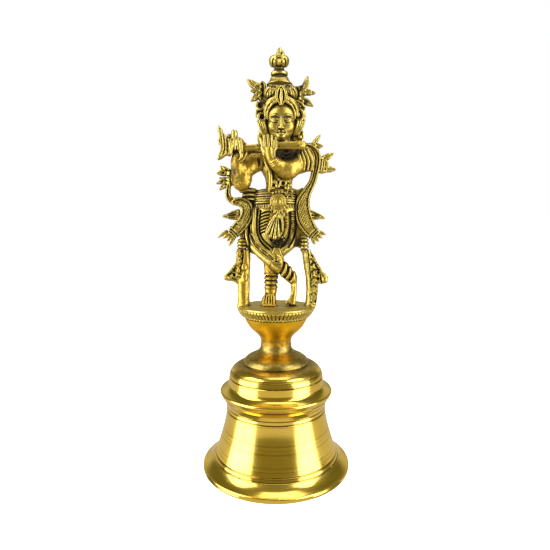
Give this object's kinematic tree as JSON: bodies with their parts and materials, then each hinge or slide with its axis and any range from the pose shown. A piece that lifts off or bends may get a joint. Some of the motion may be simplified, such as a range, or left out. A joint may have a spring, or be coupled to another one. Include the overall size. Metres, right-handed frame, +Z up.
{
  "type": "hand bell",
  "caption": "Altar hand bell: a turned brass bell with a hanging clapper, and a cast handle with a flute player standing on a petal plate.",
  "frame": {"origin": "on the bell's axis, in the plane that the lip rests on", "axes": "+Z up along the bell's axis; the flute player faces -Y; +X is to the right seen from the front"},
  "size_m": [0.058, 0.058, 0.168],
  "materials": {
    "polished_brass": "lathe-turned and polished",
    "handle_brass": "smooth, warmer polished brass",
    "antique_brass": "cast, with blackened recesses and rubbed high points",
    "clapper_brass": "turned, dull",
    "steel_hardware": "plain zinc-plated",
    "steel_wire": "drawn wire"
  },
  "bodies": {
    "root": {"bell_body": "polished_brass", "eye_bolt": "steel_hardware", "crown_washer": "steel_hardware", "crown_nut": "steel_hardware", "handle_bowl": "handle_brass", "petal_plate": "handle_brass", "torso": "antique_brass", "head": "antique_brass", "flute": "antique_brass", "dhoti": "antique_brass", "waist_belt": "antique_brass", "left_pillar": "antique_brass", "right_pillar": "antique_brass", "standing_leg": "antique_brass", "crossed_leg": "antique_brass", "left_arm": "antique_brass", "right_arm": "antique_brass", "left_hand": "antique_brass", "right_hand": "antique_brass", "belt_buckle": "antique_brass", "sash_tassel": "antique_brass", "necklace": "antique_brass", "forehead_jewel": "antique_brass", "hair": "antique_brass", "crown_cone": "antique_brass", "crown_ring": "antique_brass", "crown_finial": "antique_brass", "flute_finial": "antique_brass", "left_ear_ornament": "antique_brass", "right_ear_ornament": "antique_brass", "left_crown_leaves": "antique_brass", "right_crown_leaves": "antique_brass", "left_scarf": "antique_brass", "right_scarf": "antique_brass", "left_scarf_bow": "antique_brass", "right_scarf_flourish": "antique_brass", "left_pillar_ornament": "antique_brass", "right_pillar_ornament": "antique_brass"},
    "ring": {"hanger_ring": "steel_wire"},
    "clapper": {"clapper_rod": "steel_wire", "clapper_ball": "clapper_brass"}
  },
  "joints": [
    {"name": "ring_swing", "type": "hinge", "parent": "root", "child": "ring", "pos_m": [0, 0, 0.02965], "axis": [1, 0, 0], "range_deg": [-10, 10]},
    {"name": "clapper_swing", "type": "hinge", "parent": "ring", "child": "clapper", "pos_m": [0, 0, 0.02598], "axis": [0, 1, 0], "range_deg": [-39, 39]}
  ]
}
